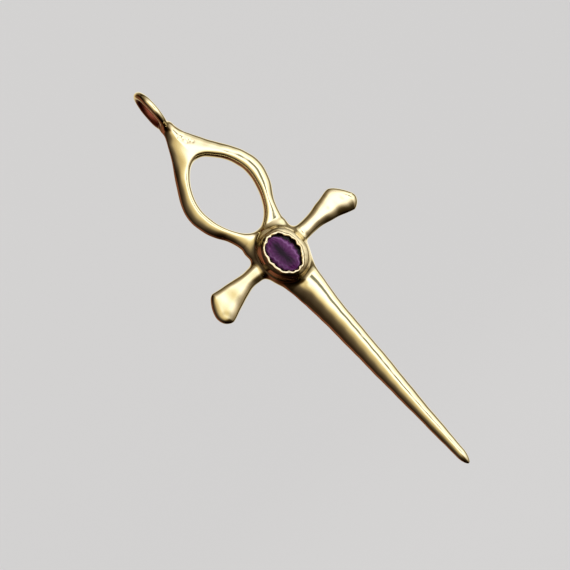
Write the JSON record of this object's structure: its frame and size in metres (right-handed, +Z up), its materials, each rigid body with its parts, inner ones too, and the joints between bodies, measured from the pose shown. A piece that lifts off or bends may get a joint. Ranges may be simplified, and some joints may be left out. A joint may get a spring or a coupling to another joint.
{
  "type": "hat pin",
  "caption": "Looped cross-shaped brass pin with a long tapering stem, flared arms, an oval faceted stone in a bezel, and an eye at the top.",
  "frame": {"origin": "centre of the hole through the eye at the top", "axes": "+Z up the long axis from the point to the eye, +X to the right of a viewer who faces the stone (along the eye's hole), +Y to the back, so the stone faces -Y"},
  "size_m": [0.029, 0.0076, 0.0776],
  "materials": {
    "brass": "high polish, hand finished",
    "solder": "polished, faintly pitted seam",
    "bezel": "burnished by hand, slightly uneven",
    "amethyst": "faceted and polished"
  },
  "bodies": {
    "root": {"bail_eye": "brass", "solder_apex": "solder", "head_loop": "brass", "centre_boss": "brass", "left_arm": "brass", "right_arm": "brass", "solder_left_arm": "solder", "solder_right_arm": "solder", "pin_stem": "brass", "bezel_cup": "bezel", "solder_bezel": "solder", "bezel_bearing": "bezel", "amethyst_stone": "amethyst"}
  },
  "joints": []
}
